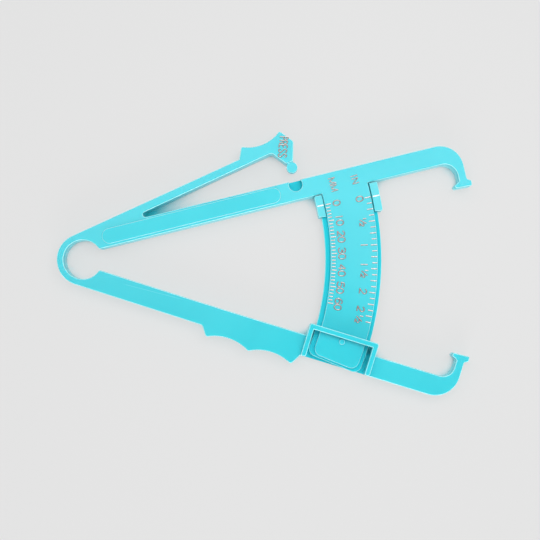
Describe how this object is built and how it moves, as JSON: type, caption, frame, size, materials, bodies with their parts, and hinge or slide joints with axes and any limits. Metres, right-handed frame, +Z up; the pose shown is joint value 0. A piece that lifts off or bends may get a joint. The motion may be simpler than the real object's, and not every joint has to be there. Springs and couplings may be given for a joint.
{
  "type": "skinfold caliper",
  "caption": "One-piece plastic skinfold caliper with a sprung V frame, hooked jaws, thumb lever, curved scale blade and memory slider.",
  "frame": {"origin": "middle of the footprint on the surface that the caliper lies on", "axes": "+X along the line midway between the arms, from the spring to the jaws; +Y to the side of the thumb lever; +Z up, out of the face that carries the scale"},
  "size_m": [0.1664, 0.1038, 0.0108],
  "materials": {
    "frame_plastic": "satin moulded turquoise",
    "slider_plastic": "satin moulded turquoise"
  },
  "bodies": {
    "upper_frame": {"upper_arm": "frame_plastic", "spring_hinge": "frame_plastic"},
    "lower_jaw": {"lower_arm": "frame_plastic"},
    "lever": {"press_lever": "frame_plastic"},
    "index_slider": {"slider": "slider_plastic"}
  },
  "joints": [
    {"name": "jaw_close", "type": "hinge", "parent": "upper_frame", "child": "lower_jaw", "pos_m": [-0.07274, -0.00153, 0.00375], "axis": [0, 0, 1], "range_deg": [0, 24.8], "stiffness_Nm_per_rad": 0.6, "deforming": ["spring_hinge"]},
    {"name": "lever_press", "type": "hinge", "parent": "upper_frame", "child": "lever", "pos_m": [-0.04829, 0.02022, 0.00375], "axis": [0, 0, -1], "range_deg": [0, 6.6], "stiffness_Nm_per_rad": 1.2},
    {"name": "slider_travel", "type": "hinge", "parent": "upper_frame", "child": "index_slider", "pos_m": [-0.07274, -0.00153, 0.00475], "axis": [0, 0, -1], "range_deg": [0, 25]}
  ]
}
